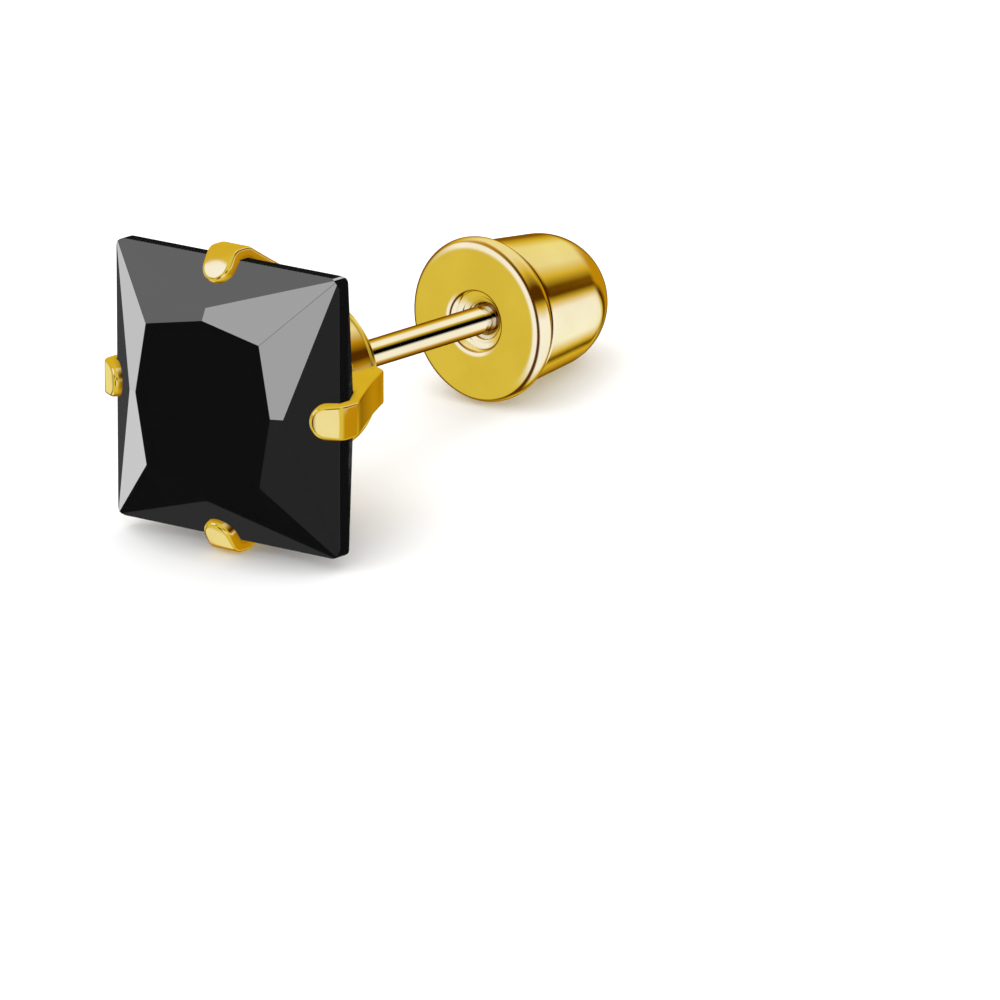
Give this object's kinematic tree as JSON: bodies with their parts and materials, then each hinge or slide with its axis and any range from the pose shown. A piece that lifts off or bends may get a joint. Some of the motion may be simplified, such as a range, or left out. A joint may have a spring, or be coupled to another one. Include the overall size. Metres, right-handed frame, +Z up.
{
  "type": "cartilage stud earring",
  "caption": "Square black stone in a gold-coloured claw setting on a straight post, with a ball-ended screw back, worn through a piercing.",
  "frame": {"origin": "middle of the bounding box's underside, on the surface that the earring lies on", "axes": "+Y runs from the stone towards the screw back, which the post slopes down to; +Z up; the stone faces -Y"},
  "size_m": [0.0088, 0.0172, 0.0086],
  "materials": {
    "black_stone": "polished black cubic zirconia, cut in sharp flat facets",
    "gold_metal": "polished gold-coloured plating over steel"
  },
  "bodies": {
    "stud": {"stone": "black_stone", "setting_with_post": "gold_metal"},
    "back": {"screw_back": "gold_metal"}
  },
  "joints": [
    {"name": "unscrew", "type": "slide", "parent": "back", "child": "stud", "axis": [0, -0.9851, 0.1719], "range_m": [0, 0.008]}
  ]
}
